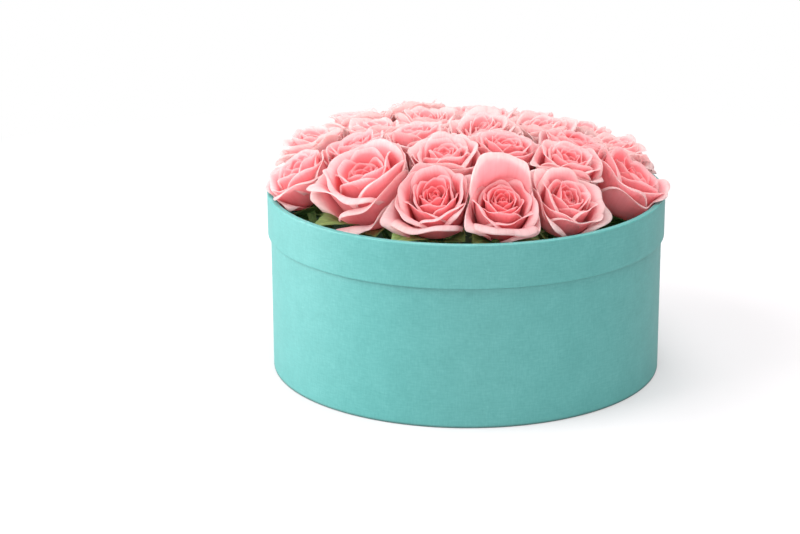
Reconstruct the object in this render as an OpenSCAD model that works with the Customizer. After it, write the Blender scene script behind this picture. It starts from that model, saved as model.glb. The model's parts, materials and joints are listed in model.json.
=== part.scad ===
// Round flower box: a paper-covered board box that holds roses in wet floral foam.
// Origin: centre of the underside of the base, +Z up, -Y to the front.

/* [Box] */
// Outside diameter of the body below the collar
body_d = 300; // [260:2:340]
// Height of the box, from the underside to the rim
box_h = 139; // [130:1:155]
// Thickness of the greyboard in the wall, the collar and the base
board_t = 2; // [1.5:0.1:3]
// Thickness of the covering paper
paper_t = 0.3; // [0.2:0.05:0.5]
// Height of the collar round the rim
collar_h = 33; // [20:1:50]
// Depth of the covering paper folded in over the rim
turn_in = 14; // [8:1:20]

/* [Liner and foam] */
// Thickness of the waterproof liner
liner_t = 0.8; // [0.6:0.1:1.5]
// Height of the liner
liner_h = 92; // [84:1:96]
// Gap round the liner, so that it lifts out
liner_gap = 1.2; // [0.8:0.1:2]
// Gap under the liner
seat_gap = 0.3; // [0.1:0.1:0.5]
// Height of the foam
foam_h = 88; // [80:1:92]
// Gap between the foam and the liner, and between foam blocks
foam_gap = 0.4; // [0.3:0.1:1]
// Width of the middle foam block
foam_block_w = 104; // [90:1:120]

/* [Roses] */
// Height of the outer blooms above the rim
edge_rise = 26; // [25:1:32]
// Extra height of the blooms at the centre
dome_rise = 18; // [10:1:24]
// Largest radius of a bloom
bloom_r_most = 34; // [28:1:38]
// Gap between neighbouring blooms
bloom_gap = 1.4; // [1.2:0.1:3]
// Height of a bloom as a multiple of its radius
bloom_tall = 1.45; // [1.35:0.05:1.6]
// Thickness of a petal
petal_t = 1.2; // [0.8:0.1:1.6]
// Diameter of a stem
stem_d = 6; // [4:0.5:7]
// Radial clearance of a stem in its hole
stem_fit = 0.05; // [0.02:0.01:0.08]
// Depth of a stem in the foam
stem_depth = 50; // [35:1:60]
// Radius of the seed cup under a bloom
hip_r = 5.5; // [4.5:0.5:6]
// Height of the seed cup under a bloom
hip_h = 9; // [6:1:12]
// Radius of the roll of the turned-down sepals
sepal_roll = 11; // [7:0.5:12]
// Distance of the leaves below a bloom
leaf_drop = 14; // [12:1:20]
// Thickness of a leaf or a sepal
leaf_t = 0.9; // [0.6:0.1:1.2]
// Length of a leaf blade
leaf_l = 21; // [16:1:22]
// Width of a leaf blade
leaf_w = 14; // [10:1:16]
// Radius of the bend along a leaf blade
leaf_bend = 30; // [24:1:60]

/* [Hidden] */
$fn = 48;
tiny = 0.01;
cut = 1;

// Each rose: angle round the box, reach from its axis as a share of the mouth's radius, lean outwards,
// weight against its neighbours when they share the room between them, spin.
roses = [
    [190, 0.902, 27, 1.05, 20],
    [222, 0.692, 24, 1.20, 50],
    [257, 0.719, 24, 1.05, 10],
    [284, 0.780, 25, 0.95, 64],
    [309, 0.834, 26, 1.00, 35],
    [349, 0.902, 28, 1.15, 5],
    [17, 0.841, 26, 1.00, 40],
    [40, 0.841, 26, 1.00, 15],
    [64, 0.841, 26, 1.00, 58],
    [87, 0.841, 26, 1.00, 30],
    [110, 0.841, 26, 1.00, 0],
    [134, 0.841, 26, 1.00, 44],
    [163, 0.841, 26, 1.00, 22],
    [252, 0.360, 12, 1.00, 12],
    [315, 0.292, 10, 0.95, 48],
    [330, 0.604, 19, 1.00, 26],
    [1, 0.577, 18, 0.95, 60],
    [36, 0.502, 15, 1.00, 8],
    [75, 0.522, 16, 1.00, 36],
    [114, 0.502, 15, 1.00, 18],
    [150, 0.563, 18, 1.00, 55],
    [172, 0.265, 9, 1.00, 33],
    [55, 0.142, 4, 1.00, 2],
    [185, 0.577, 18, 0.95, 46],
];
rose_count = len(roses);
// Reaches, as shares of the mouth's radius, where the dome is edge_rise high and where leaves start.
edge_reach = 0.88;
leaf_reach = 0.68;

// Bud cups, innermost first: radius, height of its centre and height of its mouth as shares of the
// bloom's radius, then the slant of the mouth and its turn.
bud_cups = [[0.29, 1.15, 1.36, 12, 40], [0.44, 1.08, 1.36, 10, 200]];
// Rings of open petals, innermost first: radius of the cup, of its lip and height as shares of the
// bloom's radius, then its turn.
petal_rings = [[0.62, 0.18, 1.06, 36], [0.80, 0.20, 0.95, 0]];
// The solid heart of a bloom: height, radius at its top and radius of the ball on it, as shares too.
heart = [1.2, 0.1, 0.16];
// Rounded tips in a ring, their radius and their distance out as shares of the ring, and their turn.
tip_count = 5;
tip_size = 0.64;
tip_out = 0.62;
tip_turn = 0.3;

leaf_side = 62;
leaf_lift = 24;
sepal_count = 5;
sepal_turn = 20;
sepal_root = hip_r / 2;
sepal_drop = stem_d / 3;

body_r = body_d / 2;
tube_r = body_r - paper_t;
tube_in = tube_r - board_t;
lining_in = tube_in - paper_t;
mouth_r = lining_in;
collar_in = body_r;
collar_r = collar_in + board_t;
collar_low = box_h - collar_h;
board_top = box_h - paper_t;
floor_z = paper_t + board_t;
lining_z = floor_z + paper_t;

liner_r = lining_in - paper_t - liner_gap;
liner_z = lining_z + seat_gap;
foam_r = liner_r - liner_t - foam_gap;
foam_z = liner_z + liner_t;
foam_top = foam_z + foam_h;

stem_r = stem_d / 2;
hole_r = stem_r + stem_fit;
hole_spare = 2;

function polar(a, r) = [r * cos(a), r * sin(a)];
function rose_z(i) = box_h + edge_rise + dome_rise * (1 - pow(roses[i][1] / edge_reach, 2));
function rose_eye(i) = concat(polar(roses[i][0], mouth_r * roses[i][1]), rose_z(i));
function share(i, j) = roses[i][3] / (roses[i][3] + roses[j][3]);
function room(i) = min([for (j = [0 : rose_count - 1]) if (j != i)
    (norm(rose_eye(i) - rose_eye(j)) - bloom_gap - petal_t) * share(i, j)]);
function bloom_r(i) = min(bloom_r_most, room(i));
function bloom_h(i) = bloom_tall * bloom_r(i);
function stem_l(i) = (rose_z(i) - foam_top + stem_depth) / cos(roses[i][2]);
function has_leaf(i) = roses[i][1] > leaf_reach;
// Rounded to a hundredth, so that arcs which share an end meet exactly.
function neat(v) = round(100 * v) / 100;
function two(n) = n < 10 ? str("0", n) : str(n);

bloom_names = [for (i = [1 : rose_count]) str("rose_", two(i), "_bloom")];
stem_names = [for (i = [1 : rose_count]) str("rose_", two(i), "_stem")];
foam_names = ["foam_front", "foam_middle", "foam_back"];
box_names = ["base_paper", "base_board", "body_tube", "body_wrap", "collar_ring", "collar_wrap", "lining"];

module tube(r_out, r_in, z_low, z_high) {
    translate([0, 0, z_low])
        difference() {
            cylinder(h = z_high - z_low, r = r_out);
            translate([0, 0, -cut])
                cylinder(h = z_high - z_low + 2 * cut, r = r_in);
        }
}

module base_paper() {
    color("#6fb3ab")
        cylinder(h = paper_t, r = tube_r);
}

module base_board() {
    color("#8f8a80")
        translate([0, 0, paper_t])
            cylinder(h = board_t, r = tube_in);
}

module body_tube() {
    color("#8f8a80")
        tube(tube_r, tube_in, paper_t, board_top);
}

module body_wrap() {
    color("#7cc4bb")
        tube(body_r, tube_r, paper_t, board_top);
}

module collar_ring() {
    color("#8f8a80")
        tube(collar_r, collar_in, collar_low + paper_t, board_top);
}

// One sheet: under the collar, up its outside, over the rim and down inside the tube.
module collar_wrap() {
    color("#86cdc4")
        union() {
            tube(collar_r + paper_t, collar_r, collar_low, box_h);
            tube(collar_r + tiny, collar_in, collar_low, collar_low + paper_t);
            tube(collar_r + tiny, mouth_r, board_top, box_h);
            tube(tube_in, mouth_r, board_top - turn_in, board_top + tiny);
        }
}

// Paper inside the wall and over the floor, up to the folded-in edge of the covering.
module lining() {
    color("#7cc4bb")
        difference() {
            translate([0, 0, floor_z])
                cylinder(h = board_top - turn_in - floor_z, r = tube_in);
            translate([0, 0, lining_z])
                cylinder(h = box_h, r = lining_in);
        }
}

module liner() {
    color("#dfe8e6")
        translate([0, 0, liner_z])
            difference() {
                cylinder(h = liner_h, r = liner_r);
                translate([0, 0, liner_t])
                    cylinder(h = liner_h, r = liner_r - liner_t);
            }
}

// Stands a child in the frame of rose i: origin at the middle of the bloom's face, +Z along the stem.
module at_rose(i) {
    translate(rose_eye(i))
        rotate([0, 0, roses[i][0]])
            rotate([0, roses[i][2], 0])
                children();
}

// Front edge and back edge of foam block n, counted from the front.
function foam_low(n) = n == 0 ? -body_r : (n - 1.5) * foam_block_w + foam_gap / 2;
function foam_high(n) = n == 2 ? body_r : (n - 0.5) * foam_block_w - foam_gap / 2;

module foam_block(n) {
    color("#4c7a4a")
        difference() {
            intersection() {
                translate([0, 0, foam_z])
                    cylinder(h = foam_h, r = foam_r);
                translate([-body_r, foam_low(n), foam_z - cut])
                    cube([body_d, foam_high(n) - foam_low(n), foam_h + 2 * cut]);
            }
            for (i = [0 : rose_count - 1])
                at_rose(i)
                    translate([0, 0, -stem_l(i) - hole_spare])
                        cylinder(h = stem_l(i), r = hole_r);
        }
}

// What lies inside a cup whose wall is moved out by grow: a bowl of radius bowl_r below z = 0,
// and above it a quarter roll of radius roll_r that turns the lip outwards.
module cup_inside(bowl_r, roll_r, grow) {
    intersection() {
        circle(bowl_r + grow);
        translate([0, -2 * bowl_r])
            square(2 * bowl_r);
    }
    difference() {
        square([bowl_r + roll_r, 2 * roll_r + petal_t]);
        translate([bowl_r + roll_r, 0])
            circle(roll_r - grow);
    }
}

// Cup of petals with an outward lip, its bowl centred on the origin.
module open_cup(bowl_r, roll_r) {
    rotate_extrude()
        difference() {
            cup_inside(bowl_r, roll_r, petal_t / 2);
            cup_inside(bowl_r, roll_r, -petal_t / 2);
        }
}

// Rounded petal tips round a ring whose cup has radius cup_r.
module tips(cup_r) {
    translate([0, 0, -2 * cup_r])
        linear_extrude(4 * cup_r)
            union() {
                circle(neat(tip_out * cup_r));
                for (k = [0 : tip_count - 1])
                    rotate((k + tip_turn) * 360 / tip_count)
                        translate([neat(tip_out * cup_r), 0])
                            circle(neat(tip_size * cup_r));
            }
}

// Closed cup round the bud, its mouth cut on the slant as one petal wraps another.
module bud_cup(cup_r, cup_z, mouth_z, slant, turn) {
    difference() {
        translate([0, 0, cup_z])
            difference() {
                sphere(cup_r + petal_t / 2);
                sphere(cup_r - petal_t / 2);
            }
        rotate([0, 0, turn])
            translate([0, 0, mouth_z])
                rotate([0, slant, 0])
                    translate([-2 * cup_r, -2 * cup_r, 0])
                        cube([4 * cup_r, 4 * cup_r, 3 * cup_r]);
    }
}

// Ring of petals: an open cup of radius cup_r about height cup_z, its lip cut into rounded tips.
module petal_ring(cup_r, roll_r, cup_z, turn) {
    translate([0, 0, cup_z])
        rotate([0, 0, turn])
            intersection() {
                open_cup(cup_r, roll_r);
                tips(cup_r);
            }
}

// One bloom of radius r, its foot on the origin.
module bloom_shape(r) {
    union() {
        cylinder(h = heart[0] * r, r1 = hip_r, r2 = heart[1] * r);
        translate([0, 0, heart[0] * r])
            sphere(heart[2] * r);
        for (c = bud_cups)
            bud_cup(c[0] * r, c[1] * r, c[2] * r, c[3], c[4]);
        for (p = petal_rings)
            petal_ring(neat(p[0] * r), neat(p[1] * r) - petal_t / 2, p[2] * r, p[3]);
    }
}

module bloom(i) {
    color("#f2a0a4")
        at_rose(i)
            rotate([0, 0, roses[i][4]])
                translate([0, 0, -bloom_h(i)])
                    bloom_shape(bloom_r(i));
}

// Five sepals turned down from the seed cup, cut from one rolled collar.
module sepals() {
    translate([0, 0, -sepal_drop - sepal_roll])
        intersection() {
            rotate_extrude()
                translate([sepal_root, 0])
                    intersection() {
                        difference() {
                            circle(sepal_roll + leaf_t / 2);
                            circle(sepal_roll - leaf_t / 2);
                        }
                        square(2 * sepal_roll);
                    }
            rotate([0, 0, sepal_turn])
                linear_extrude(2 * sepal_roll)
                    polygon([for (k = [0 : 2 * sepal_count - 1])
                        polar(k * 180 / sepal_count, k % 2 == 0 ? sepal_root + sepal_roll + cut : hip_r)]);
        }
}

// Leaf blade from the origin along +X, pointed at both ends and bent down.
module leaf() {
    side_r = (pow(leaf_l / 2, 2) + pow(leaf_w / 2, 2)) / leaf_w;
    intersection() {
        translate([leaf_l / 3, 0, -leaf_bend])
            difference() {
                sphere(leaf_bend + leaf_t / 2);
                sphere(leaf_bend - leaf_t / 2);
            }
        translate([0, 0, -leaf_bend])
            linear_extrude(2 * leaf_bend)
                intersection() {
                    translate([leaf_l / 2, side_r - leaf_w / 2])
                        circle(side_r);
                    translate([leaf_l / 2, leaf_w / 2 - side_r])
                        circle(side_r);
                }
    }
}

module stem(i) {
    color("#4f7f3c")
        at_rose(i)
            translate([0, 0, -bloom_h(i)])
                union() {
                    translate([0, 0, bloom_h(i) - stem_l(i)])
                        cylinder(h = stem_l(i) - bloom_h(i) - hip_h + tiny, r = stem_r);
                    translate([0, 0, -hip_h])
                        cylinder(h = hip_h, r1 = stem_r, r2 = hip_r);
                    sepals();
                    if (has_leaf(i))
                        for (side = [-1, 1])
                            rotate([0, 0, side * leaf_side])
                                translate([0, 0, -leaf_drop])
                                    rotate([0, -leaf_lift, 0])
                                        leaf();
                }
}

base_paper();
base_board();
body_tube();
body_wrap();
collar_ring();
collar_wrap();
lining();
liner();
for (n = [0 : 2])
    foam_block(n);
for (i = [0 : rose_count - 1]) {
    bloom(i);
    stem(i);
}
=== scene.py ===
"""Round flower box: a teal paper-covered board box with a dome of pink roses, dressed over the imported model.

Meshes are made in millimetres and turned into metres in new_piece. Lights, camera, floor and the scales of
the materials are in metres.
"""
import json
import math

import bpy
import numpy as np
from mathutils import Matrix, Vector

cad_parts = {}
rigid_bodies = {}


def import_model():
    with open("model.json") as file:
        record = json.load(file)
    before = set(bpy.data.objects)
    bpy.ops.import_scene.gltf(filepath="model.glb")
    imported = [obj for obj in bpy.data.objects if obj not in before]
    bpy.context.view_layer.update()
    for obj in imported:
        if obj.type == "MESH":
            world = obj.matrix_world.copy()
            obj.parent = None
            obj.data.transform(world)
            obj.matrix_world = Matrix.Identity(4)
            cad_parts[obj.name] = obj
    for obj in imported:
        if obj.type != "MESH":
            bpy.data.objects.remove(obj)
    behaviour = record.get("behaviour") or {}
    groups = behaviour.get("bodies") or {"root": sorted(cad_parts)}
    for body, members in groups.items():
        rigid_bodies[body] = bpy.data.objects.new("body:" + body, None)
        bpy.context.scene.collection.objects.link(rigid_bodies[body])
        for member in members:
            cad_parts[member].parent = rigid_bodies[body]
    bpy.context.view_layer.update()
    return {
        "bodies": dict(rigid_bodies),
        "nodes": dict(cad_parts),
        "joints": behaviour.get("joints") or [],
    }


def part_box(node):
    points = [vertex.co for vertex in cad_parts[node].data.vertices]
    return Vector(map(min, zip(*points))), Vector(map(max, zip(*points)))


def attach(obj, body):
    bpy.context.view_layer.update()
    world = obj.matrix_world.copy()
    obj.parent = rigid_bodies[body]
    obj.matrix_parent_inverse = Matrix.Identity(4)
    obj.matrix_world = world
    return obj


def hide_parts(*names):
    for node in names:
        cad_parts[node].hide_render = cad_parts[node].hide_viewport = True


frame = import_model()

MM = 0.001

# ---------------------------------------------------------------- sizes read from the frame


def node_points(name):
    """A CAD node's vertices as an n x 3 array, in millimetres."""
    mesh = frame["nodes"][name].data
    co = np.empty(len(mesh.vertices) * 3)
    mesh.vertices.foreach_get("co", co)
    return co.reshape(-1, 3) / MM


def reach_of(name):
    """Distances of a CAD node's vertices from the box's axis, in millimetres."""
    return np.hypot(*node_points(name)[:, :2].T)


RIM_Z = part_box("collar_wrap")[1].z / MM
COLLAR_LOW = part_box("collar_wrap")[0].z / MM
BOARD_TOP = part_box("collar_ring")[1].z / MM
TURN_IN_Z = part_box("lining")[1].z / MM
BODY_R = reach_of("body_wrap").max()
TUBE_R = reach_of("body_wrap").min()
COLLAR_R = reach_of("collar_wrap").max()
MOUTH_R = reach_of("collar_wrap").min()
PAPER_T = BODY_R - TUBE_R
FOAM_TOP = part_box("foam_middle")[1].z / MM

# ---------------------------------------------------------------- what is tuned to the photograph

# Colours. A ramp is a list of (place, colour).
PAPER_RAMP = [(0.36, (0.052, 0.305, 0.288)), (0.5, (0.071, 0.350, 0.331)), (0.64, (0.096, 0.398, 0.378))]
# Painted shade: the dark colour given to the paper along its folded lower edges, where the box meets the
# ground.
PAPER_EDGE_SHADE = (0.02, 0.05, 0.045)
PETAL_HEART = [(0.0, (0.97, 0.13, 0.15)), (0.35, (0.98, 0.31, 0.34)), (0.75, (0.99, 0.56, 0.59)),
               (1.0, (0.99, 0.73, 0.74))]
PETAL_OUTSIDE = [(0.0, (0.98, 0.39, 0.42)), (0.4, (0.99, 0.57, 0.60)), (0.8, (0.99, 0.75, 0.76)),
                 (1.0, (0.99, 0.85, 0.84))]
PETAL_FOOT = (0.86, 0.66, 0.44)
PETAL_VEIN = (0.70, 0.16, 0.17)
PETAL_SHEEN = (1, 0.6, 0.6, 1)
GREEN_DARK = (0.050, 0.115, 0.028)
GREEN_LIGHT = (0.150, 0.270, 0.070)
FLOOR_COLOUR = (0.60, 0.575, 0.585, 1)
WHITE = (1, 1, 1, 1)

EDGE_SHADE_HEIGHT = 0.0022        # how far the painted shade of the folded lower edge runs up the paper, in metres
PETAL_GLOW = 0.62      # share of a petal's look that is light from its far side

# The camera is fitted to the rim, collar and base ellipses of the photograph. Angles in degrees.
CAMERA_PLACE = (0, -1.6722, 0.6065)
CAMERA_PITCH = 17.642
CAMERA_YAW = 1.743
CAMERA_ROLL = -0.334
SENSOR_WIDTH = 36
LENS = 101.7

WORLD_LIGHT = 0.6
FLOOR_LIFT = 0.215     # light of its own that the floor gives where it is seen
FLOOR_REACH = 2.4
FLOOR_CORNERS = 96
FLOOR_Z = -0.0002
FLOOR_FADES = (0.35, 0.85)      # distances from the box's axis over which the floor turns plain white
BOX_MIDDLE = (0, 0, 0.1)

# Lamps: (name, place, aim, size, power).
LAMPS = [
    ("key_light", (-1.3, -0.6, 1.5), BOX_MIDDLE, 1.0, 20),
    ("side_light", (-1.7, 0.1, 0.35), BOX_MIDDLE, 0.8, 22),
    ("top_light", (0.2, -0.2, 1.9), BOX_MIDDLE, 1.2, 19),
    ("front_light", (0.2, -2.4, 0.9), BOX_MIDDLE, 1.6, 18),
    ("back_light", (-0.5, 1.6, 1.2), (0, 0, 0.15), 1.0, 10),
]

# Leaves on a stalk: (turn, lift, neck, length, width), angles in degrees.
OUTER_LEAVES = [(-50, 44, 9, 30, 21), (50, 44, 9, 30, 21)]
LEAFY_REACH = 0.55     # roses that stand further out than this share of the mouth's radius have leaves

# How each rose looks:
#   petals     how many, besides its guards
#   size       its radius, as a share of the solid bloom's radius
#   open       how far the petals lean outwards
#   point      how pointed their tips are, at most
#   core       height of the heart, as a share of the solid bloom's height
#   back_rise  how much higher the petals stand on the rose's inner side than on its outer side
#   skirt      how much the outer petals hang down
#   ruffle     strength of the waves along the lips, and of the spread in the petals' heights
#   sink       how far the rose is pushed into the foam
#   fade       how much paler it is; on the back rows mostly painted light, as if they were lit more strongly
#   guards     single petals added to the rest: (place from heart to outside, turn in degrees, shape)
#   thorns     how many
#   leaves     as above
#   spin       turn of the first petal in radians, by default the golden angle times the rose's number
DEFAULT_LOOK = {
    "petals": 34, "size": 1.4, "open": 1.0, "point": 0.6, "core": 0.86, "back_rise": 0.0, "skirt": 0.0,
    "ruffle": 1.0, "sink": -2.5, "fade": 0.12, "guards": [], "thorns": 3, "leaves": [],
}
FRONT = {
    "core": 0.80, "back_rise": 0.10, "skirt": 0.1, "sink": 4.0, "fade": 0.08, "ruffle": 1.5, "point": 1.3,
}
# The back rows' high fade is painted light: their petals are made paler as if lit more strongly from behind
# and above.
BACK = {"fade": 0.5, "point": 1.2, "ruffle": 1.6, "petals": 38, "back_rise": -0.16}
SPREAD_PETAL = (1.0, 48, {"lean": 26, "tall": 0.78, "wide": 0.75})
TALL_PETAL = (0.86, 182, {"tall": 1.66, "roll": 0.85, "wide": 1.25, "lean": -6, "wave": 3.2, "fade": 0.28,
                          "shoulder": 1.1})
CUPPING_PETALS = [(0.62, -75, {"tall": 1.0, "roll": 0.2, "wide": 1.15}),
                  (0.9, 10, {"tall": 1.3, "lean": 2, "wide": 0.9, "fade": 0.1})]
LOOKS = {
    "rose_01": {**FRONT, "sink": -1.5, "fade": 0.14, "ruffle": 1.6},
    "rose_02": {**FRONT, "size": 1.34, "fade": 0.16, "ruffle": 1.2, "spin": 6.0, "open": 0.96, "sink": -2.5,
                "back_rise": -0.03, "skirt": -0.08, "guards": [SPREAD_PETAL],
                "leaves": [(-12, 46, 24, 42, 29), (46, 40, 20, 34, 24)]},
    "rose_03": {**FRONT, "leaves": [(-27, 44, 24, 38, 24), (50, 44, 9, 30, 21)]},
    "rose_04": {**FRONT, "size": 1.45, "guards": [TALL_PETAL]},
    "rose_05": {**FRONT, "fade": 0.22},
    "rose_06": {**FRONT, "size": 1.52, "sink": 1.0, "petals": 26, "ruffle": 1.4, "guards": CUPPING_PETALS},
    "rose_07": {**BACK, "sink": 1.0},
    "rose_08": {**BACK, "sink": 0.0},
    "rose_09": BACK,
    "rose_10": BACK,
    "rose_11": {**BACK, "sink": -9.0},
    "rose_12": {**BACK, "sink": -8.0},
    "rose_13": {**BACK, "sink": -5.0},
    "rose_14": {"fade": 0.24, "ruffle": 1.5},
    "rose_15": {"ruffle": 1.5},
    "rose_16": {"fade": 0.2, "ruffle": 1.5},
    "rose_18": BACK,
    "rose_19": BACK,
    "rose_20": BACK,
    "rose_21": BACK,
    "rose_22": {"fade": 0.25, "ruffle": 1.6},
    "rose_23": BACK,
}

# ---------------------------------------------------------------- mesh helpers


def smooth(x):
    """Smooth step from 0 to 1 over 0..1."""
    x = np.clip(x, 0, 1)
    return x * x * (3 - 2 * x)


def unit(vector):
    """The vector at length 1."""
    return vector / np.linalg.norm(vector)


def new_piece(name, points, quads, body, material, uv, tones=None):
    """One object from points in millimetres and quads. uv is a pair per point, tones a triple per point."""
    mesh = bpy.data.meshes.new(name)
    mesh.vertices.add(len(points))
    mesh.vertices.foreach_set("co", (np.asarray(points) * MM).astype(np.float32).ravel())
    loops = np.asarray(quads, np.int32).ravel()
    mesh.loops.add(len(loops))
    mesh.loops.foreach_set("vertex_index", loops)
    mesh.polygons.add(len(quads))
    mesh.polygons.foreach_set("loop_start", np.arange(0, len(loops), 4, dtype=np.int32))
    mesh.update(calc_edges=True)
    layer = mesh.uv_layers.new(name="surface")
    layer.data.foreach_set("uv", np.asarray(uv, np.float32)[loops].ravel())
    if tones is not None:
        layer = mesh.attributes.new("tones", "FLOAT_COLOR", "POINT")
        rgba = np.c_[np.asarray(tones, np.float32), np.ones(len(tones), np.float32)]
        layer.data.foreach_set("color", rgba.astype(np.float32).ravel())
    mesh.shade_smooth()
    piece = bpy.data.objects.new(name, mesh)
    bpy.context.scene.collection.objects.link(piece)
    mesh.materials.append(material)
    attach(piece, body)
    return piece


class Soup:
    """Collects sheets and tubes, which become one mesh."""

    def __init__(self):
        self.points, self.quads, self.uv, self.tones = [], [], [], []
        self.count = 0

    def add(self, points, quads, uv, tones):
        self.points.append(points)
        self.quads.append(np.asarray(quads) + self.count)
        self.uv.append(uv)
        self.tones.append(tones)
        self.count += len(points)

    def arrays(self):
        return [np.concatenate(x) for x in (self.points, self.quads, self.uv, self.tones)]


def grid_quads(rows, columns, wrap=False):
    """Quads of a rows x columns grid of points; wrap joins its last column to its first."""
    i, j = np.meshgrid(np.arange(rows - 1), np.arange(columns if wrap else columns - 1), indexing="ij")
    j2 = (j + 1) % columns
    a, b = i * columns + j, i * columns + j2
    return np.stack([a, b, b + columns, a + columns], axis=-1).reshape(-1, 4)


def sheet_normals(grid):
    """Unit normals of a rows x columns x 3 grid of points."""
    n = np.cross(np.gradient(grid, axis=1), np.gradient(grid, axis=0))
    return n / np.maximum(np.linalg.norm(n, axis=2, keepdims=True), 1e-9)


def thick_sheet(soup, grid, thickness, uv, front_tones, back_tones):
    """Adds a grid of points as a closed sheet, thickness given per point. Front is the normals' side."""
    rows, columns, _ = grid.shape
    n = sheet_normals(grid) * (np.asarray(thickness) / 2)[..., None]
    points = np.concatenate([(grid + n).reshape(-1, 3), (grid - n).reshape(-1, 3)])
    count = rows * columns
    quads = grid_quads(rows, columns)
    edge = list(range(columns))
    edge += [i * columns + columns - 1 for i in range(1, rows)]
    edge += [(rows - 1) * columns + j for j in range(columns - 2, -1, -1)]
    edge += [i * columns for i in range(rows - 2, 0, -1)]
    edge = np.array(edge)
    after = np.roll(edge, -1)
    rim = np.stack([after, edge, edge + count, after + count], axis=-1)
    quads = np.concatenate([quads, quads[:, ::-1] + count, rim])
    two_uv = np.concatenate([uv.reshape(-1, 2)] * 2)
    tones = np.concatenate([front_tones.reshape(-1, 3), back_tones.reshape(-1, 3)])
    soup.add(points, quads, two_uv, tones)


# ---------------------------------------------------------------- materials


class Nodes:
    """Writes a material's node tree. What adds a node gives back its output, unless it feeds the shader."""

    def __init__(self, name):
        self.material = bpy.data.materials.new(name)
        self.material.use_nodes = True
        self.tree = self.material.node_tree
        self.tree.nodes.clear()
        self.output = self.tree.nodes.new("ShaderNodeOutputMaterial")
        self.shader = self.add("BsdfPrincipled")
        self.link(self.shader.outputs[0], self.output.inputs["Surface"])

    def add(self, kind, **settings):
        """A new node itself."""
        node = self.tree.nodes.new("ShaderNode" + kind)
        for key, value in settings.items():
            setattr(node, key, value)
        return node

    def link(self, out, socket):
        self.tree.links.new(out, socket)

    def set(self, **values):
        """Sets the Principled shader's own sockets: words joined by _ name them."""
        for key, value in values.items():
            self.shader.inputs[key.replace("_", " ")].default_value = value

    def place(self):
        """Coordinates in the object, in metres."""
        return self.add("TexCoord").outputs["Object"]

    def surface(self):
        """Coordinates along the sheet."""
        return self.add("UVMap", uv_map="surface").outputs[0]

    def tones(self):
        """The three tones that the mesh carries at each point."""
        attribute = self.add("Attribute", attribute_name="tones")
        split = self.add("SeparateColor")
        self.link(attribute.outputs["Color"], split.inputs[0])
        return split.outputs[0], split.outputs[1], split.outputs[2]

    def noise(self, vector, scale, detail=3.0, roughness=0.55, distortion=0.0):
        node = self.add("TexNoise")
        self.link(vector, node.inputs["Vector"])
        node.inputs["Scale"].default_value = scale
        node.inputs["Detail"].default_value = detail
        node.inputs["Roughness"].default_value = roughness
        node.inputs["Distortion"].default_value = distortion
        return node.outputs["Fac"]

    def stretched(self, vector, scale):
        node = self.add("Mapping")
        self.link(vector, node.inputs["Vector"])
        node.inputs["Scale"].default_value = scale
        return node.outputs["Vector"]

    def ramp(self, factor, stops):
        """A colour ramp through (place, colour) stops."""
        node = self.add("ValToRGB")
        self.link(factor, node.inputs["Fac"])
        elements = node.color_ramp.elements
        while len(elements) < len(stops):
            elements.new(0.5)
        for element, (place, colour) in zip(elements, stops):
            element.position = place
            element.color = (*colour, 1)
        return node.outputs["Color"]

    def math(self, operation, a, b=0.0, clamp=False):
        node = self.add("Math", operation=operation, use_clamp=clamp)
        for socket, value in zip(node.inputs, (a, b)):
            if isinstance(value, (int, float)):
                socket.default_value = value
            else:
                self.link(value, socket)
        return node.outputs[0]

    def mix(self, factor, a, b):
        """From colour a to colour b as factor goes from 0 to 1."""
        node = self.add("MixRGB")
        self.link(factor, node.inputs[0])
        for socket, value in zip(node.inputs[1:], (a, b)):
            if isinstance(value, tuple):
                socket.default_value = (*value, 1)
            else:
                self.link(value, socket)
        return node.outputs[0]

    def colour(self, out):
        """Feeds the shader's colour."""
        self.link(out, self.shader.inputs["Base Color"])

    def roughness(self, factor, low, high):
        """Feeds the shader's roughness, from low to high."""
        node = self.add("MapRange")
        self.link(factor, node.inputs["Value"])
        node.inputs["To Min"].default_value = low
        node.inputs["To Max"].default_value = high
        self.link(node.outputs[0], self.shader.inputs["Roughness"])

    def bump(self, height, strength, distance):
        """Feeds the shader's normal."""
        node = self.add("Bump")
        self.link(height, node.inputs["Height"])
        node.inputs["Strength"].default_value = strength
        node.inputs["Distance"].default_value = distance
        self.link(node.outputs[0], self.shader.inputs["Normal"])

    def let_light_through(self, colour, share):
        """Mixes in light that falls on the far side of a thin sheet."""
        glow = self.add("BsdfTranslucent")
        self.link(colour, glow.inputs["Color"])
        both = self.add("MixShader")
        both.inputs[0].default_value = share
        self.link(self.shader.outputs[0], both.inputs[1])
        self.link(glow.outputs[0], both.inputs[2])
        self.link(both.outputs[0], self.output.inputs["Surface"])


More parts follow.
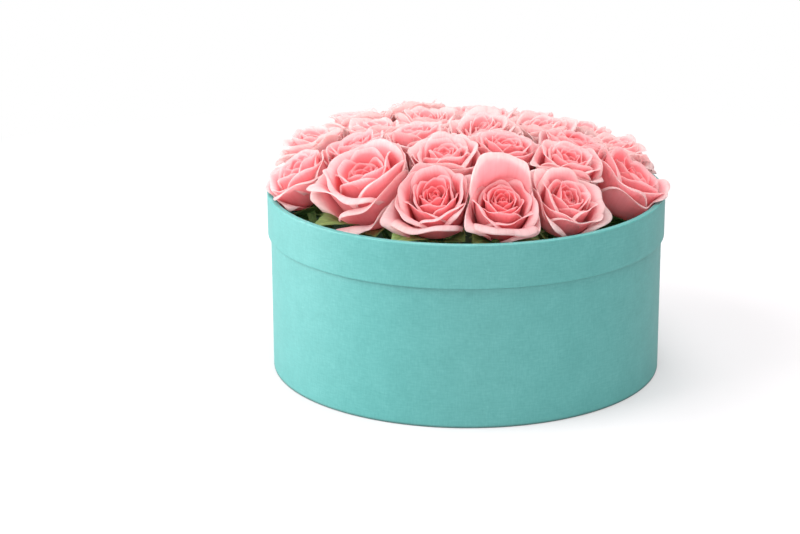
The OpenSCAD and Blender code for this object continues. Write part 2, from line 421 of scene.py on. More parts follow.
def petal_material():
    """Coral deep in the bloom, pink further out and pale along the lips, with fine veins."""
    m = Nodes("rose_petal")
    pale, place, height = m.tones()
    along = m.stretched(m.surface(), (34, 1.6, 1))
    veins = m.noise(along, scale=1.0, detail=4, roughness=0.6, distortion=0.3)
    mottle = m.noise(m.place(), scale=90, detail=3)
    uneven = m.math("MULTIPLY", m.math("SUBTRACT", mottle, 0.5), 0.22)
    pale = m.math("ADD", pale, uneven, clamp=True)
    body = m.mix(m.math("POWER", place, 0.8), m.ramp(pale, PETAL_HEART), m.ramp(pale, PETAL_OUTSIDE))
    near_foot = m.math("SUBTRACT", 0.22, height, clamp=True)
    near_foot = m.math("MULTIPLY", near_foot, m.math("MULTIPLY", place, 3.0), clamp=True)
    body = m.mix(near_foot, body, PETAL_FOOT)
    on_vein = m.math("MULTIPLY", m.math("SUBTRACT", veins, 0.45, clamp=True), 0.5)
    body = m.mix(on_vein, body, PETAL_VEIN)
    m.colour(body)
    m.roughness(mottle, low=0.48, high=0.62)
    m.set(Sheen_Weight=0.35, Sheen_Roughness=0.5, Sheen_Tint=PETAL_SHEEN, Specular_IOR_Level=0.3)
    m.bump(m.math("ADD", veins, m.math("MULTIPLY", mottle, 0.6)), strength=0.25, distance=0.0006)
    m.let_light_through(body, PETAL_GLOW)
    return m.material


def paper_material():
    """Matte teal covering paper: faint crossed fibres, cloudy tone and a slightly raised grain, and painted
    shade along its folded lower edges.
    """
    m = Nodes("teal_paper")
    uv = m.surface()
    level = m.noise(m.stretched(uv, (160, 900, 1)), scale=1.0, detail=4, roughness=0.6, distortion=0.4)
    upright = m.noise(m.stretched(uv, (900, 160, 1)), scale=1.0, detail=4, roughness=0.6, distortion=0.4)
    cloud = m.noise(uv, scale=55, detail=3, roughness=0.6, distortion=0.6)
    fibre = m.math("MULTIPLY", m.math("ADD", level, upright), 0.5)
    tone = m.math("ADD", m.math("MULTIPLY", fibre, 0.75), m.math("MULTIPLY", cloud, 0.25))
    parts = m.add("SeparateXYZ")
    m.link(uv, parts.inputs[0])
    # Painted shade: the paper is darkened over the first stretch of its outline, at the folded lower edge.
    edge_shade = m.math("SUBTRACT", 1.0, m.math("MULTIPLY", parts.outputs[1], 1 / EDGE_SHADE_HEIGHT), clamp=True)
    m.colour(m.mix(edge_shade, m.ramp(tone, PAPER_RAMP), PAPER_EDGE_SHADE))
    m.roughness(fibre, low=0.45, high=0.6)
    m.set(Specular_IOR_Level=1.0)
    m.bump(fibre, strength=0.35, distance=0.0003)
    return m.material


def plain_paper_material():
    """The covering paper where it has no unrolled coordinates: inside the box and under it."""
    m = Nodes("teal_paper_inside")
    where = m.place()
    fibre = m.noise(m.stretched(where, (300, 300, 700)), scale=1.0, detail=4, roughness=0.6, distortion=0.4)
    cloud = m.noise(where, scale=55, detail=3)
    m.colour(m.ramp(m.math("MULTIPLY", m.math("ADD", fibre, cloud), 0.5), PAPER_RAMP))
    m.roughness(fibre, low=0.55, high=0.7)
    m.set(Specular_IOR_Level=0.4)
    m.bump(fibre, strength=0.3, distance=0.0003)
    return m.material


def board_material():
    """Greyboard: grey-brown pulp with a coarse tooth."""
    m = Nodes("greyboard")
    pulp = m.noise(m.stretched(m.place(), (500, 500, 1400)), scale=1.0, detail=5, roughness=0.65)
    m.colour(m.ramp(pulp, [(0.3, (0.26, 0.245, 0.22)), (0.7, (0.42, 0.40, 0.36))]))
    m.roughness(pulp, low=0.8, high=0.95)
    m.bump(pulp, strength=0.4, distance=0.0004)
    return m.material


def foam_material():
    """Wet floral foam: dark green, open fine pores and pressed darker patches."""
    m = Nodes("floral_foam")
    where = m.place()
    pores = m.add("TexVoronoi")
    m.link(where, pores.inputs["Vector"])
    pores.inputs["Scale"].default_value = 900
    patch = m.noise(where, scale=40, detail=4)
    tone = m.math("ADD", m.math("MULTIPLY", pores.outputs["Distance"], 0.5), m.math("MULTIPLY", patch, 0.6))
    m.colour(m.ramp(tone, [(0.25, (0.015, 0.05, 0.02)), (0.8, (0.06, 0.16, 0.07))]))
    m.roughness(patch, low=0.6, high=0.9)
    m.bump(tone, strength=0.8, distance=0.0006)
    return m.material


def liner_material():
    """Thin milky plastic with a soft gloss."""
    m = Nodes("liner_film")
    cloud = m.noise(m.place(), scale=25, detail=3)
    m.colour(m.ramp(cloud, [(0.3, (0.60, 0.67, 0.65)), (0.7, (0.68, 0.74, 0.72))]))
    m.roughness(cloud, low=0.24, high=0.36)
    m.set(Subsurface_Weight=0.2, Subsurface_Radius=(0.002, 0.002, 0.002))
    return m.material


def green_material():
    """Leaf and stem green, paler along the veins and where the mesh's first tone says so."""
    m = Nodes("rose_green")
    pale, _, _ = m.tones()
    cloud = m.noise(m.place(), scale=120, detail=4)
    streak = m.noise(m.stretched(m.surface(), (9, 3, 1)), scale=1.0, detail=3)
    tone = m.math("ADD", m.math("MULTIPLY", cloud, 0.6), m.math("MULTIPLY", streak, 0.4))
    body = m.ramp(tone, [(0.35, GREEN_DARK), (0.65, GREEN_LIGHT)])
    m.colour(m.mix(pale, body, tuple(1.7 * c + 0.04 for c in GREEN_LIGHT)))
    m.roughness(cloud, low=0.38, high=0.55)
    m.set(Specular_IOR_Level=0.5, Subsurface_Weight=0.1, Subsurface_Radius=(0.0008, 0.0015, 0.0004))
    m.bump(m.math("ADD", streak, pale), strength=0.4, distance=0.0006)
    return m.material


def floor_material():
    """White that takes shadows near the box, and is plain white further out where the camera sees it."""
    m = Nodes("floor_white")
    m.set(Base_Color=FLOOR_COLOUR, Roughness=0.9, Specular_IOR_Level=0.1)
    rays = m.add("LightPath")
    seen = m.math("MAXIMUM", rays.outputs["Is Camera Ray"], rays.outputs["Is Transmission Ray"])
    glow = m.add("Emission")
    glow.inputs["Color"].default_value = WHITE
    m.link(m.math("MULTIPLY", seen, FLOOR_LIFT), glow.inputs["Strength"])
    near = m.add("AddShader")
    m.link(m.shader.outputs[0], near.inputs[0])
    m.link(glow.outputs[0], near.inputs[1])
    far = m.add("Emission")
    m.link(seen, far.inputs["Strength"])
    length = m.add("VectorMath", operation="LENGTH")
    m.link(m.place(), length.inputs[0])
    fade = m.add("MapRange")
    m.link(length.outputs["Value"], fade.inputs["Value"])
    fade.inputs["From Min"].default_value = FLOOR_FADES[0]
    fade.inputs["From Max"].default_value = FLOOR_FADES[1]
    mixed = m.add("MixShader")
    m.link(m.math("MULTIPLY", fade.outputs[0], seen), mixed.inputs[0])
    m.link(near.outputs[0], mixed.inputs[1])
    m.link(far.outputs[0], mixed.inputs[2])
    m.link(mixed.outputs[0], m.output.inputs["Surface"])
    return m.material


# ---------------------------------------------------------------- box covers
TURNS = 360            # points round the box
ARC_POINTS = 6
OUTER_SIDE = 1.0       # how far in from its outermost point a cover's outline counts as its outer side
SEAM_SETTLES = 0.9     # share of the upper layer's height that is lost across the seam
GROUND_GAP = 0.02      # between the body's paper and the ground
PAPER_GAP = 0.05       # between two layers of paper, or paper and board
COLLAR_FOLD = 0.9      # radius of the collar's folded edges
SIDE_START = 1.0       # height of the first points above the body's lower fold


def arc(centre, radius, start, end):
    """Points of an arc in a profile's (reach, height) plane, angles in degrees."""
    a = np.radians(np.linspace(start, end, ARC_POINTS))
    return list(zip(centre[0] + radius * np.cos(a), centre[1] + radius * np.sin(a)))


def straight(reach, low, high, steps):
    """Points of a profile at one reach, from one height to another."""
    return [(reach, z) for z in np.linspace(low, high, steps)]


def lathe_cover(name, outline, seam_at, seam_width, replaced):
    """Paper wrapped round the box's axis: a closed outline of (reach, height), turned, with a lapped seam.

    seam_at is where the upper layer ends, in degrees; it lies seam_width millimetres over the lower one.
    """
    outline = np.array(outline)
    count = len(outline)
    turn = np.linspace(0, 2 * math.pi, TURNS, endpoint=False)
    outer_side = outline[:, 0] >= outline[:, 0].max() - OUTER_SIDE
    span = seam_width / BODY_R
    past = (math.radians(seam_at) - turn) % (2 * math.pi)
    raised = np.where(past < span, 1.0 - smooth(past / span) * SEAM_SETTLES, 0.0)
    rho = outline[:, 0][None, :] + PAPER_T * raised[:, None] * outer_side[None, :]
    z = np.broadcast_to(outline[:, 1][None, :], rho.shape)
    points = np.stack([rho * np.cos(turn)[:, None], rho * np.sin(turn)[:, None], z], axis=-1)
    i, j = np.meshgrid(np.arange(TURNS), np.arange(count), indexing="ij")
    i2, j2 = (i + 1) % TURNS, (j + 1) % count
    quads = np.stack([i * count + j, i2 * count + j, i2 * count + j2, i * count + j2], axis=-1)
    along = np.concatenate([[0], np.cumsum(np.linalg.norm(np.diff(outline, axis=0), axis=1))])
    around = np.broadcast_to(turn[:, None] * BODY_R, rho.shape)
    uv = np.stack([around, np.broadcast_to(along, rho.shape)], axis=-1)
    piece = new_piece(name, points.reshape(-1, 3), quads.reshape(-1, 4), "box",
                      MATERIALS["paper"], uv.reshape(-1, 2) * MM)
    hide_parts(replaced)


def body_cover():
    """Outer paper of the body, its lower edge folded over the corner of the base."""
    low = GROUND_GAP + PAPER_T
    outline = arc((TUBE_R, low), PAPER_T, -90, 0)
    outline += straight(BODY_R, SIDE_START, BOARD_TOP, 24)
    outline += straight(TUBE_R, BOARD_TOP, low, 6)
    lathe_cover("body_cover", outline, seam_at=98, seam_width=14, replaced="body_wrap")


def collar_cover():
    """Outer paper of the collar: folded round its lower edge, over the rim and down inside the mouth."""
    fold = COLLAR_FOLD
    board_in, board_out = MOUTH_R + PAPER_T, COLLAR_R - PAPER_T
    outline = [(BODY_R + PAPER_GAP, COLLAR_LOW)]
    outline += arc((COLLAR_R - fold, COLLAR_LOW + fold), fold, -90, 0)
    outline += straight(COLLAR_R, COLLAR_LOW + 2 * fold, RIM_Z - 2 * fold, 10)
    outline += arc((COLLAR_R - fold, RIM_Z - fold), fold, 0, 90)
    outline += arc((MOUTH_R + fold, RIM_Z - fold), fold, 90, 180)
    outline += straight(MOUTH_R, RIM_Z - 2 * fold, TURN_IN_Z, 6)
    outline += [(board_in, TURN_IN_Z), (board_in, BOARD_TOP - PAPER_GAP)]
    outline += [(board_out, BOARD_TOP - PAPER_GAP), (board_out, COLLAR_LOW + PAPER_T)]
    outline += [(BODY_R + PAPER_GAP, COLLAR_LOW + PAPER_T)]
    lathe_cover("collar_cover", outline, seam_at=84, seam_width=12, replaced="collar_wrap")


# ---------------------------------------------------------------- petals
GOLDEN_ANGLE = math.radians(137.508)
PETAL_T = 0.45
PETAL_ROWS = 24
PETAL_COLUMNS = 25
LIP_STARTS = 0.62      # share of a petal's rows below its rolled lip
LIP_PULL = 0.38        # how strongly the lip's lean bends the side below it

# How a petal changes from the heart of a bloom (0) to its outside (1), as knots of (place, value).
BELLY = ((0, 0.035), (0.2, 0.11), (0.4, 0.22), (0.6, 0.37), (0.8, 0.56), (1, 0.70))    # share of the reach
LEAN = ((0, -8), (0.25, -5), (0.5, 2), (0.7, 10), (0.85, 22), (1, 38))                 # degrees outwards
ROLL = ((0, 0), (0.2, 6), (0.4, 22), (0.6, 44), (0.8, 68), (1, 84))                    # degrees at the lip
ROLL_RADIUS = ((0, 0.04), (0.4, 0.08), (0.7, 0.17), (1, 0.28))                         # share of the reach
HALF_WIDTH = ((0, 2.3), (0.12, 1.9), (0.3, 1.5), (0.55, 1.3), (1, 1.12))               # radians
SHOULDER = ((0, 0.05), (0.3, 0.14), (0.6, 0.26), (1, 0.34))                # drop at the sides of the lip
LOW_PULL = ((0, 0.3), (1, 0.05))                   # height of the lower bend, share of the lip's height
FLAT = ((0, 0), (0.3, 0.05), (1, 0.15))            # how much further out both sides stand
TUCK = ((0, 0.32), (0.1, 0.16), (0.3, 0.05), (1, 0.03))      # how much further out one side stands
SIDE_FLARE = ((0, 0), (0.5, 0.015), (1, 0.05))     # how far the very sides turn out, share of the reach
WAVE = ((0, 0.002), (0.4, 0.014), (1, 0.038))      # of the lip, share of the reach
PALENESS = ((0, 0.45), (0.5, 0.85), (1, 1))        # how pale the lip is

# How much petals differ by chance: standard deviations and ranges of a factor.
LEAN_SPREAD = 3.5      # degrees
HEIGHT_SPREAD = 0.022  # share of the height
TURN_SPREAD = 0.08     # radians
ROLL_RANGE = (0.75, 1.2)
ROLL_RADIUS_RANGE = (0.85, 1.15)
WIDTH_RANGE = (0.92, 1.08)


def between(t, knots):
    """Value at t on a line through (t, value) knots."""
    return np.interp(t, [k[0] for k in knots], [k[1] for k in knots])


def bezier(p0, p1, p2, p3, v):
    """Point on a cubic curve; each p is a pair of numbers or arrays, v runs over 0..1."""
    w = [(1 - v) ** 3, 3 * (1 - v) ** 2 * v, 3 * (1 - v) * v * v, v ** 3]
    return [sum(wi * p[axis] for wi, p in zip(w, (p0, p1, p2, p3))) for axis in (0, 1)]


def lip_height(t, azimuth, tall, rng, look, shape):
    """Height of a petal's lip before it rolls, in a bloom of height tall."""
    core = look["core"]
    knots = ((0, core), (0.2, core + 0.02), (0.45, core + 0.12), (0.7, 0.92), (0.88, 0.80), (1, 0.64))
    hanging = 1 - look["skirt"] * smooth((t - 0.3) / 0.5)
    uneven = 1 + rng.normal(0, HEIGHT_SPREAD * look["ruffle"])
    facing = 1 - look["back_rise"] * math.cos(azimuth) * smooth(2.2 * t)
    return tall * between(t, knots) * hanging * (uneven * facing * shape.get("tall", 1))


def petal_grid(t, azimuth, reach, tall, rng, look, shape):
    """Points of one petal about the rose's axis, its foot at the origin, and its own u and v.

    t is its place from the heart (0) to the outside (1), reach the rose's radius, tall its height.
    shape changes this petal from its neighbours: tall, wide, roll, shoulder and wave multiply, lean adds
    degrees. (fade is for rose_soup.)
    """
    u, v = np.meshgrid(np.linspace(-1, 1, PETAL_COLUMNS), np.linspace(0, 1, PETAL_ROWS))
    side = np.abs(u)
    belly = reach * between(t, BELLY)
    lean = between(t, LEAN) * look["open"]
    lean = math.radians(lean + rng.normal(0, LEAN_SPREAD) * smooth(3 * t) + shape.get("lean", 0))
    lip_z = lip_height(t, azimuth, tall, rng, look, shape)
    roll = math.radians(between(t, ROLL) * rng.uniform(*ROLL_RANGE)) * shape.get("roll", 1)
    roll_r = reach * between(t, ROLL_RADIUS) * rng.uniform(*ROLL_RADIUS_RANGE)
    half = between(t, HALF_WIDTH) * rng.uniform(*WIDTH_RANGE) * shape.get("wide", 1)

    # The tip is high in the middle and drops to rounded shoulders at the sides.
    point = look["point"] * rng.uniform(0.0, 1.0)
    shoulder = between(t, SHOULDER) * shape.get("shoulder", 1)
    drop = shoulder * side ** 3 + 0.05 * point * smooth(side / 0.5) * smooth(2 * t)
    lip_rho = belly + lip_z * 0.30 * math.tan(max(lean, -0.2))

    # The side below the lip is a curve from the foot, out over the belly and up to the lip.
    v_low = np.clip(v / LIP_STARTS, 0, 1) * (1 - drop)
    v_top = np.clip((v - LIP_STARTS) / (1 - LIP_STARTS), 0, 1)
    foot = (min(belly * 0.6, 4.0), 0.4 + 2.5 * (1 - t))
    low = (belly * 1.05, lip_z * between(t, LOW_PULL))
    high = (lip_rho - math.sin(lean) * lip_z * LIP_PULL, lip_z - math.cos(lean) * lip_z * LIP_PULL)
    step = 0.01
    rho, z = bezier(foot, low, high, (lip_rho, lip_z), v_low)
    rho_before, z_before = bezier(foot, low, high, (lip_rho, lip_z), np.clip(v_low - step, 0, 1))
    heading = np.arctan2(rho - rho_before, z - z_before)

    # The lip flares outwards, most at the shoulders where the tip is pointed, and less at the very sides.
    # It follows the heading as that turns; each row adds a short straight step.
    rolled = roll * (1 - 0.5 * point * (1 - smooth(side / 0.6))) * (1 - 0.35 * smooth((side - 0.7) / 0.3))
    flare_r = roll_r * (1 - 0.45 * side ** 4)
    angle = heading + rolled * v_top ** 1.3
    length = flare_r * rolled + lip_z * 0.04
    step_v = np.diff(v_top, axis=0, prepend=0)
    rho = rho + np.cumsum(np.sin(angle) * length * step_v, axis=0)
    z = z + np.cumsum(np.cos(angle) * length * step_v, axis=0)

    # Sides stand a little further out than the middle, one side more than the other, so that petals tuck in.
    rho = rho * (1 + between(t, FLAT) * side ** 2.2 * v + between(t, TUCK) * u * smooth(2 * v))
    rho = rho + reach * between(t, SIDE_FLARE) * smooth((side - 0.65) / 0.35) * smooth(2 * v - 0.5)

    # Soft waves along the lip.
    wave = reach * between(t, WAVE) * smooth(1.6 * v - 0.5) * look["ruffle"] * shape.get("wave", 1)
    phase = rng.uniform(0, 2 * math.pi, 4)
    z = z + wave * (np.sin(3.1 * u + phase[0]) + 0.45 * np.sin(7.3 * u + phase[1]))
    rho = rho + wave * (0.8 * np.sin(4.1 * u + phase[2]) + 0.35 * np.sin(9.7 * u + phase[3]))
    theta = azimuth + half * u * (1 - 0.16 * v_top ** 2)
    return np.stack([rho * np.cos(theta), rho * np.sin(theta), z], axis=-1), u, v


def rose_soup(reach, tall, look):
    """All the petals of one rose, about the +Z axis with the foot at the origin, in millimetres."""
    rng = np.random.default_rng(look["seed"])
    soup = Soup()
    count = look["petals"]
    turns = [look["spin"] + k * GOLDEN_ANGLE + rng.normal(0, TURN_SPREAD) for k in range(count)]
    petals = [(k / (count - 1), turn, {}) for k, turn in enumerate(turns)]
    petals += [(t, math.radians(turn), shape) for t, turn, shape in look["guards"]]
    for k, (t, azimuth, shape) in enumerate(petals):
        grid, u, v = petal_grid(t, azimuth, reach, tall, rng, look, shape)
        lip = smooth((v - 0.42) / 0.52)
        edge = smooth((np.abs(u) - 0.6) / 0.4) * v * v
        pale = (0.85 * lip + 0.2 * edge) * between(t, PALENESS)
        # fade makes the petal paler: partly roses that differ, and on the back rows mostly painted light.
        pale = np.clip(pale * (1 - 0.3 * look["fade"]) + look["fade"] + shape.get("fade", 0), 0, 1)
        one = np.ones_like(u)
        # Red holds how pale the petal is, green its place from heart to outside, blue the height on it.
        inner = np.stack([pale, one * t, v], axis=-1)
        outer = np.stack([0.3 * t + (1 - 0.3 * t) * pale, one * t, v], axis=-1)
        thickness = PETAL_T * (1 - 0.55 * smooth((v - 0.8) / 0.2)) * one
        uv = np.stack([(u + 1) / 2 + k, v], axis=-1)
        thick_sheet(soup, grid, thickness, uv, outer, inner)
    return soup


# ---------------------------------------------------------------- stems, sepals and leaves
STEM_R = 2.95
HIP_R = 6.0            # of the seed cup under the petals
HIP_LOW = -11.0        # where the seed cup starts; heights on a stalk are from the bloom's foot
TIP_R = 0.05
LEAF_ROOT = -15.0      # where leaves leave the stem
LEAF_ROWS = 25
LEAF_COLUMNS = 13
LEAF_T = 0.35
LEAFLET_TURN = 1.05    # of the side leaflets from the leaf, in radians
SEPALS = 5
STALK_SEED = 100
UP = np.array([0, 0, 1.0])


def tube_about(soup, centres, radii, sides, tone):
    """A round tube through centres, one radius each. Its open ends are tiny or lie inside another form."""
    centres = np.asarray(centres, float)
    radii = np.asarray(radii, float)
    ahead = np.gradient(centres, axis=0)
    ahead /= np.linalg.norm(ahead, axis=1, keepdims=True)
    side = np.cross(ahead, (0.13, 0.97, 0.21))
    side /= np.linalg.norm(side, axis=1, keepdims=True)
    other = np.cross(ahead, side)
    turn = np.linspace(0, 2 * math.pi, sides, endpoint=False)
    ring = side[:, None] * np.cos(turn)[None, :, None] + other[:, None] * np.sin(turn)[None, :, None]
    points = centres[:, None] + ring * radii[:, None, None]
    rows = len(centres)
    u, v = np.meshgrid(np.linspace(0, 1, sides), np.linspace(0, 1, rows))
    uv = np.stack([u, v], -1).reshape(-1, 2)
    soup.add(points.reshape(-1, 3), grid_quads(rows, sides, wrap=True), uv, np.full((rows * sides, 3), tone))


def leaf_sheet(soup, root, along, up, length, width, bend, teeth=7, fold=0.25, tone=0.0):
    """A pointed, serrated leaf from root, running along, its upper side towards up.

    It bends down by bend radians, and its halves stand up from the middle by fold.
    """
    along = unit(along)
    across = unit(np.cross(up, along))
    up = np.cross(along, across)
    s, u = np.meshgrid(np.linspace(0, 1, LEAF_ROWS), np.linspace(-1, 1, LEAF_COLUMNS), indexing="ij")
    side = np.abs(u)
    half = width / 2 * np.sin(math.pi * s ** 0.82) ** 0.85
    saw = 1 + 0.09 * (1 - 2 * ((s * teeth * 2) % 1)) * (side > 0.95)
    half = np.maximum(half * saw, 0.12)
    run = length * (np.sin(bend * s) / bend)
    fall = -length * ((1 - np.cos(bend * s)) / bend)
    lift = fold * side * half + 0.3 * np.sin(9 * s + 2 * u) * s * side
    grid = root + run[..., None] * along + (fall + lift)[..., None] * up + (u * half)[..., None] * across
    ribs = np.abs(((s * 7 - side * 1.6) % 1) - 0.5) < 0.08
    pale = np.clip(tone + 0.75 * (side < 0.09) + 0.3 * ribs * (side < 0.9), 0, 1)
    over = np.stack([pale, s, s], -1)
    under = np.stack([np.clip(pale + 0.35, 0, 1), s, s], -1)
    thick_sheet(soup, grid, np.full_like(s, LEAF_T), np.stack([(u + 1) / 2, s], -1), over, under)


def add_stem(soup, stem_low, foam_level, seed):
    """The round stem, smooth in the foam and slightly uneven above it, with the seed cup at its top."""
    z = np.concatenate([[stem_low, stem_low], np.linspace(stem_low + 0.4, foam_level, 10),
                        np.linspace(foam_level + 4, HIP_LOW - 2, 8), np.linspace(HIP_LOW, 1.2, 9), [1.6]])
    swell = smooth((z - HIP_LOW) / 7.0)
    r = STEM_R + (HIP_R - STEM_R) * swell * (1 - 0.35 * smooth((z + 2) / 4))
    r = np.where(z > foam_level, r + 0.25 * np.sin(0.5 * z + seed) * (z < HIP_LOW), r)
    r[0], r[1], r[-1] = TIP_R, STEM_R - 0.3, TIP_R
    centres = np.stack([np.zeros_like(z), np.zeros_like(z), z], -1)
    centres[0, 2] -= 0.01
    tube_about(soup, centres, r, sides=20, tone=0.12)


def add_thorn(soup, foam_level, rng):
    """A thorn that curves down, somewhere on the stem above the foam."""
    a = rng.uniform(0, 2 * math.pi)
    low = rng.uniform(foam_level + 3, HIP_LOW - 5)
    out = np.array([math.cos(a), math.sin(a), -0.25])
    root = UP * low + out * (STEM_R - 0.8)
    path = [root, root + out * 1.4, root + out * 2.6 + (0, 0, -0.5), root + out * 3.6 + (0, 0, -1.3)]
    tube_about(soup, path, [1.5, 1.0, 0.5, TIP_R], sides=8, tone=0.4)


def add_sepal(soup, k, spin, rng):
    """The k-th sepal, a narrow green leaf that bends down from under the petals."""
    a = spin + (k + rng.normal(0, TURN_SPREAD)) * 2 * math.pi / SEPALS
    out = np.array([math.cos(a), math.sin(a), rng.uniform(0.05, 0.35)])
    root = np.array([math.cos(a) * 4.6, math.sin(a) * 4.6, -1.6])
    leaf_sheet(soup, root, out, UP, length=rng.uniform(19, 25), width=7.0, bend=rng.uniform(1.2, 2.2),
               teeth=3, fold=0.5, tone=0.25)


def add_leaf(soup, turn, lift, neck_length, length, width):
    """A rose leaf of three leaflets: turn and lift in degrees, sizes of the one at the end of the neck."""
    a = math.radians(turn)
    out = unit(np.array([math.cos(a), math.sin(a), math.tan(math.radians(lift))]))
    up = np.array([-out[2] * math.cos(a), -out[2] * math.sin(a), 1.0])
    root = UP * LEAF_ROOT
    neck = root + out * neck_length
    path = [root + out * neck_length * share for share in (0, 0.33, 0.67, 1)] + [neck + out * 5]
    tube_about(soup, path, [1.1, 0.9, 0.8, 0.75, 0.2], sides=8, tone=0.2)
    leaf_sheet(soup, neck, out, up, length, width, bend=0.5, teeth=9)
    for turned in (-LEAFLET_TURN, LEAFLET_TURN):
        aside = np.array([math.cos(a + turned), math.sin(a + turned), out[2] * 0.7])
        leaf_sheet(soup, root + out * (neck_length - 2.5), aside, up, length * 0.62, width * 0.68, bend=0.6)


def stalk_soup(stem_low, foam_level, look):
    """Stem, seed cup, sepals and leaves of one rose about +Z, in millimetres from the bloom's foot."""
    rng = np.random.default_rng(STALK_SEED + look["seed"])
    soup = Soup()
    add_stem(soup, stem_low, foam_level, look["seed"])
    for _ in range(look["thorns"]):
        add_thorn(soup, foam_level, rng)
    for k in range(SEPALS):
        add_sepal(soup, k, look["spin"], rng)
    for leaf in look["leaves"]:
        add_leaf(soup, *leaf)
    return soup


# ---------------------------------------------------------------- roses in their places
HEART_SHARE = 0.72     # height of a bloom's middle, as a share of its height
BLOOM_GAP = 0.5        # between the borders of neighbouring blooms
PRESS_FROM = 0.70      # share of the way to a border from which petals are pressed together
NEIGHBOUR = 1.25       # blooms within this share of their two reaches press on each other
DRAW_IN_FROM = MOUTH_R - 8      # reach beyond which petals are drawn in
DRAW_IN_ROOM = 28.0    # the most that a petal may reach beyond that
RIM_MARGIN = 0.8       # least gap between petals and the box
RIM_DEPTH = 30.0       # how far inside the wall's edge the line lies from which clear_rim pushes
RIM_SOFT = 0.8         # how gently petals come up against that gap
RIM_POWER = 12         # the higher, the sharper the edge that petals bend over
LEAFY_FROM = 8         # what stands higher than this over the foam keeps clear of the rim


def rose_frame(name):
    """A rose's place and measures. Rows of axes are its own +X (outwards), +Y and +Z (its face)."""
    joint = next(j for j in frame["joints"] if j["name"] == name + "_draw")
    z = np.array(joint["axis"], float)
    points = node_points(name + "_bloom")
    along = points @ z
    foot = points[along < along.min() + 0.05].mean(axis=0)
    side = np.linalg.norm(points - foot - (along - along.min())[:, None] * z, axis=1)
    y = unit(np.cross(z, (foot[0], foot[1], 0)))
    return {"foot": foot, "axes": np.array([np.cross(y, z), y, z]), "tall": along.max() - along.min(),
            "radius": side.max(), "stem_low": (node_points(name + "_stem") @ z).min() - foot @ z}


def planned_rose(name):
    """A rose's frame and its look, with where it sits and how far it may reach."""
    rose = rose_frame(name)
    number = int(name[-2:])
    look = dict(DEFAULT_LOOK, seed=number, spin=GOLDEN_ANGLE * number)
    if np.hypot(*rose["foot"][:2]) > LEAFY_REACH * MOUTH_R:
        look["leaves"] = OUTER_LEAVES
    look.update(LOOKS.get(name, {}))
    rose["look"] = look
    rose["reach"] = rose["radius"] * look["size"]
    rose["foot"] = rose["foot"] - rose["axes"][2] * look["sink"]
    rose["stem_low"] += look["sink"]
    rose["heart"] = rose["foot"] + rose["axes"][2] * rose["tall"] * HEART_SHARE
    return rose


def into_box(points, rose):
    """From a rose's own frame into the box's."""
    return points @ rose["axes"] + rose["foot"]


def keep_apart(points, rose, others):
    """Presses petals against the flat borders between this bloom and its neighbours, keeping their order."""
    heart = rose["heart"]
    for other in others:
        gap = other["heart"] - heart
        distance = np.linalg.norm(gap)
        if distance > NEIGHBOUR * (rose["reach"] + other["reach"]):
            continue
        ahead = gap / distance
        border = distance * rose["reach"] / (rose["reach"] + other["reach"]) - BLOOM_GAP / 2
        start = PRESS_FROM * border
        over = (points - heart) @ ahead - start
        room = border - start
        pressed = room * (1 - np.exp(-np.maximum(over, 0) / room))
        points = points - np.outer(np.where(over > 0, over - pressed, 0), ahead)
    return points


def keep_near(points):
    """Draws in what would hang far out over the rim, keeping its order."""
    reach = np.hypot(points[:, 0], points[:, 1])
    over = np.maximum(reach - DRAW_IN_FROM, 0)
    drawn = np.minimum(reach, DRAW_IN_FROM) + DRAW_IN_ROOM * (1 - np.exp(-over / DRAW_IN_ROOM))
    moved = points.copy()
    moved[:, :2] *= (drawn / np.maximum(reach, 1e-6))[:, None]
    return moved


def clear_rim(points):
    """Moves what would touch the rim or the wall of the box out over its inner edge, softly and in order.

    Points move along rays from a line deep inside the wall, so that a petal bends over the edge and isn't
    split between its two sides.
    """
    reach = np.hypot(points[:, 0], points[:, 1])
    outward = points[:, :2] / np.maximum(reach, 1e-6)[:, None]
    inside = np.maximum(MOUTH_R - RIM_MARGIN - reach + RIM_DEPTH, 0)
    above = np.maximum(points[:, 2] - RIM_Z - RIM_MARGIN + RIM_DEPTH, 0)
    clear = np.maximum((inside ** RIM_POWER + above ** RIM_POWER) ** (1 / RIM_POWER), 1.0)
    edge = RIM_DEPTH * 2 ** (1 / RIM_POWER)
    wanted = edge + RIM_SOFT * np.logaddexp(0, (clear - edge) / RIM_SOFT)
    push = wanted / clear - 1
    moved = points.copy()
    moved[:, :2] -= outward * (push * inside)[:, None]
    moved[:, 2] += push * above
    return moved


def make_rose(name, rose, others):
    """One rose's petals and stalk, which stand for its solid bloom and stem."""
    look = rose["look"]
    points, quads, uv, tones = rose_soup(rose["reach"], rose["tall"], look).arrays()
    points = clear_rim(keep_near(keep_apart(into_box(points, rose), rose, others)))
    petals = new_piece(name + "_petals", points, quads, name, MATERIALS["petal"], uv, tones)
    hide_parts(name + "_bloom")
    foam_level = (FOAM_TOP - rose["foot"][2]) / rose["axes"][2][2]
    points, quads, uv, tones = stalk_soup(rose["stem_low"], foam_level, look).arrays()
    points = into_box(points, rose)
    leafy = points[:, 2] > FOAM_TOP + LEAFY_FROM
    points[leafy] = clear_rim(points[leafy])
    stalk = new_piece(name + "_stalk", points, quads, name, MATERIALS["green"], uv, tones)
    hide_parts(name + "_stem")


# ---------------------------------------------------------------- studio


def studio_floor():
    """Pale floor that takes the box's shadow and fades into the white of the world."""
    mesh = bpy.data.meshes.new("floor")
    turn = np.linspace(0, 2 * math.pi, FLOOR_CORNERS, endpoint=False)
    ring = [(FLOOR_REACH * math.cos(a), FLOOR_REACH * math.sin(a), FLOOR_Z) for a in turn]
    mesh.from_pydata(ring, [], [list(range(FLOOR_CORNERS))])
    floor = bpy.data.objects.new("floor", mesh)
    bpy.context.scene.collection.objects.link(floor)
    mesh.materials.append(floor_material())


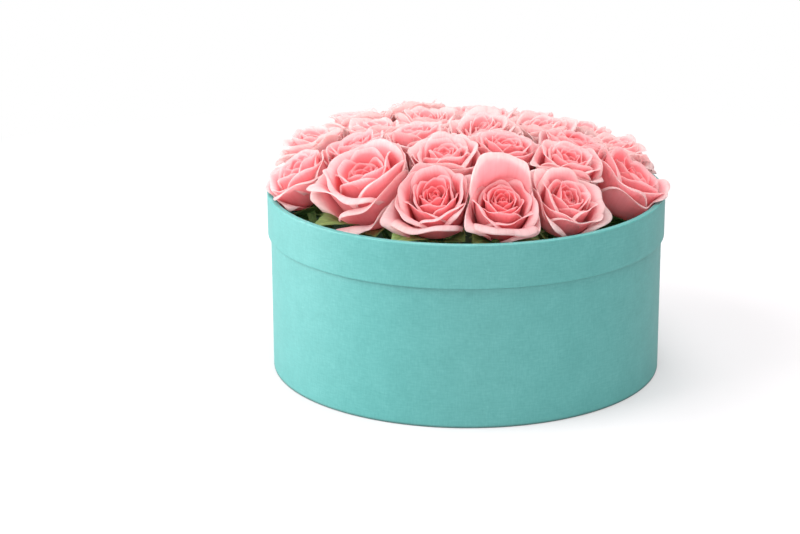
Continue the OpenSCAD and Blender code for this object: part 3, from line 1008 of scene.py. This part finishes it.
def studio_world():
    """Soft grey light all round, white where it is seen directly or through clear matter."""
    world = bpy.data.worlds.new("studio")
    bpy.context.scene.world = world
    world.use_nodes = True
    tree = world.node_tree
    tree.nodes.clear()
    rays = tree.nodes.new("ShaderNodeLightPath")
    seen = tree.nodes.new("ShaderNodeMath")
    seen.operation = "MAXIMUM"
    tree.links.new(rays.outputs["Is Camera Ray"], seen.inputs[0])
    tree.links.new(rays.outputs["Is Transmission Ray"], seen.inputs[1])
    level = tree.nodes.new("ShaderNodeMapRange")
    tree.links.new(seen.outputs[0], level.inputs["Value"])
    level.inputs["To Min"].default_value = WORLD_LIGHT
    level.inputs["To Max"].default_value = 1.0
    back = tree.nodes.new("ShaderNodeBackground")
    back.inputs["Color"].default_value = WHITE
    tree.links.new(level.outputs[0], back.inputs["Strength"])
    out = tree.nodes.new("ShaderNodeOutputWorld")
    tree.links.new(back.outputs[0], out.inputs["Surface"])


def soft_box(name, place, aim, size, power):
    """A square area lamp; place and aim in metres, power in watts."""
    lamp = bpy.data.lights.new(name, "AREA")
    lamp.size = size
    lamp.energy = power
    light = bpy.data.objects.new(name, lamp)
    bpy.context.scene.collection.objects.link(light)
    light.location = place
    light.rotation_euler = (Vector(aim) - Vector(place)).to_track_quat("-Z", "Y").to_euler()


def photo_camera():
    """Camera that stands and looks as the photograph's did."""
    pitch, yaw, roll = (math.radians(a) for a in (CAMERA_PITCH, CAMERA_YAW, CAMERA_ROLL))
    ahead = Vector((-math.sin(yaw) * math.cos(pitch), math.cos(yaw) * math.cos(pitch), -math.sin(pitch)))
    level = Vector((math.cos(yaw), math.sin(yaw), 0))
    upright = level.cross(ahead)
    right = level * math.cos(roll) + upright * math.sin(roll)
    up = upright * math.cos(roll) - level * math.sin(roll)
    lens = bpy.data.cameras.new("photo_camera")
    lens.sensor_width = SENSOR_WIDTH
    lens.lens = LENS
    camera = bpy.data.objects.new("photo_camera", lens)
    bpy.context.scene.collection.objects.link(camera)
    turn = Matrix((right, up, -ahead)).transposed().to_4x4()
    camera.matrix_world = Matrix.Translation(CAMERA_PLACE) @ turn
    bpy.context.scene.camera = camera


# ---------------------------------------------------------------- the scene
MATERIALS = {
    "paper": paper_material(),
    "paper_inside": plain_paper_material(),
    "board": board_material(),
    "foam": foam_material(),
    "liner": liner_material(),
    "petal": petal_material(),
    "green": green_material(),
}
CAD_FINISHES = {
    "base_paper": "paper_inside",
    "lining": "paper_inside",
    "body_wrap": "paper_inside",
    "collar_wrap": "paper_inside",
    "base_board": "board",
    "body_tube": "board",
    "collar_ring": "board",
    "liner": "liner",
    "foam_front": "foam",
    "foam_middle": "foam",
    "foam_back": "foam",
}
for node_name, cad_node in frame["nodes"].items():
    cad_node.data.materials.clear()
    finish = "petal" if node_name.endswith("_bloom") else "green"
    cad_node.data.materials.append(MATERIALS[CAD_FINISHES.get(node_name, finish)])

body_cover()
collar_cover()
roses = {name: planned_rose(name) for name in sorted(b for b in frame["bodies"] if b.startswith("rose_"))}
for rose_name, rose in roses.items():
    make_rose(rose_name, rose, [other for other in roses.values() if other is not rose])

bpy.context.scene.view_settings.view_transform = "Standard"
studio_floor()
studio_world()
for lamp_settings in LAMPS:
    soft_box(*lamp_settings)
photo_camera()
